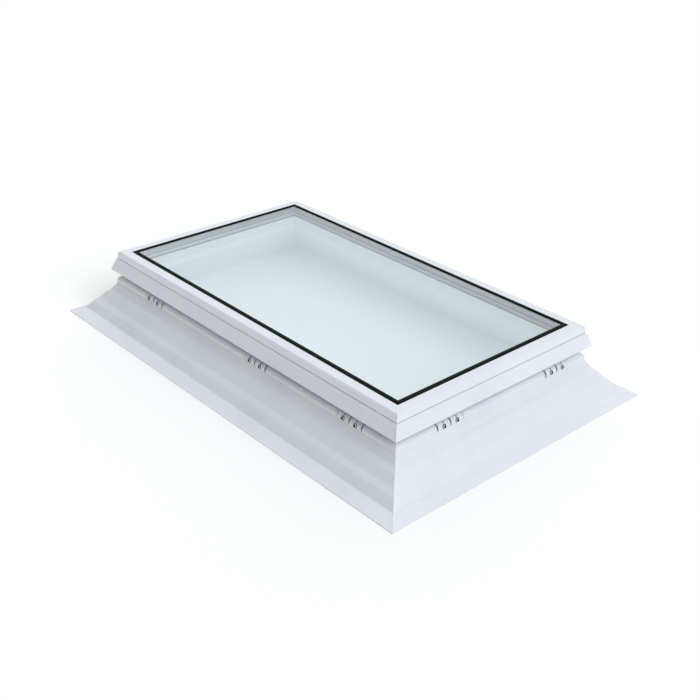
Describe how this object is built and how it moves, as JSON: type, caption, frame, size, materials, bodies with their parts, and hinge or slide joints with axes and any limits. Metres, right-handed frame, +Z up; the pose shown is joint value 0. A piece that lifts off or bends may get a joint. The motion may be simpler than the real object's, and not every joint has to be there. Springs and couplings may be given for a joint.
{
  "type": "roof skylight",
  "caption": "Fixed flat-glass roof skylight: double-glazed sash with a white cap frame and drip skirt, clipped to a splayed hollow upstand with a roof flange.",
  "frame": {"origin": "middle of the underside of the roof flange, on the roof surface", "axes": "+X along the long sides, +Z up through the glass, the front long side faces -Y"},
  "size_m": [1.39, 0.89, 0.2015],
  "materials": {
    "upstand_upvc": "satin white PVC",
    "sash_upvc": "satin white PVC",
    "cap_upvc": "satin white PVC",
    "clip_plastic": "satin white moulded plastic",
    "outer_glass": "clear float glass",
    "inner_glass": "clear float glass",
    "spacer_metal": "satin",
    "edge_sealant": "matt black",
    "black_rubber": "satin black",
    "grey_tape": "matt grey",
    "packer_plastic": "matt",
    "seal_rubber": "satin black",
    "screw_steel": "zinc plated, bright",
    "washer_rubber": "satin black"
  },
  "bodies": {
    "root": {"upstand_front": "upstand_upvc", "upstand_right": "upstand_upvc", "upstand_back": "upstand_upvc", "upstand_left": "upstand_upvc", "sash_front": "sash_upvc", "sash_right": "sash_upvc", "sash_back": "sash_upvc", "sash_left": "sash_upvc", "cap_front": "cap_upvc", "cap_right": "cap_upvc", "cap_back": "cap_upvc", "cap_left": "cap_upvc", "clip_front_a": "clip_plastic", "clip_front_b": "clip_plastic", "clip_front_c": "clip_plastic", "clip_right_a": "clip_plastic", "clip_right_b": "clip_plastic", "clip_back_a": "clip_plastic", "clip_back_b": "clip_plastic", "clip_back_c": "clip_plastic", "clip_left_a": "clip_plastic", "clip_left_b": "clip_plastic", "outer_pane": "outer_glass", "inner_pane": "inner_glass", "spacer_bar": "spacer_metal", "edge_sealant": "edge_sealant", "glass_gasket": "black_rubber", "glazing_tape": "grey_tape", "setting_blocks": "packer_plastic", "sash_seal": "seal_rubber", "clip_screws": "screw_steel", "sealing_washers": "washer_rubber"}
  },
  "joints": []
}
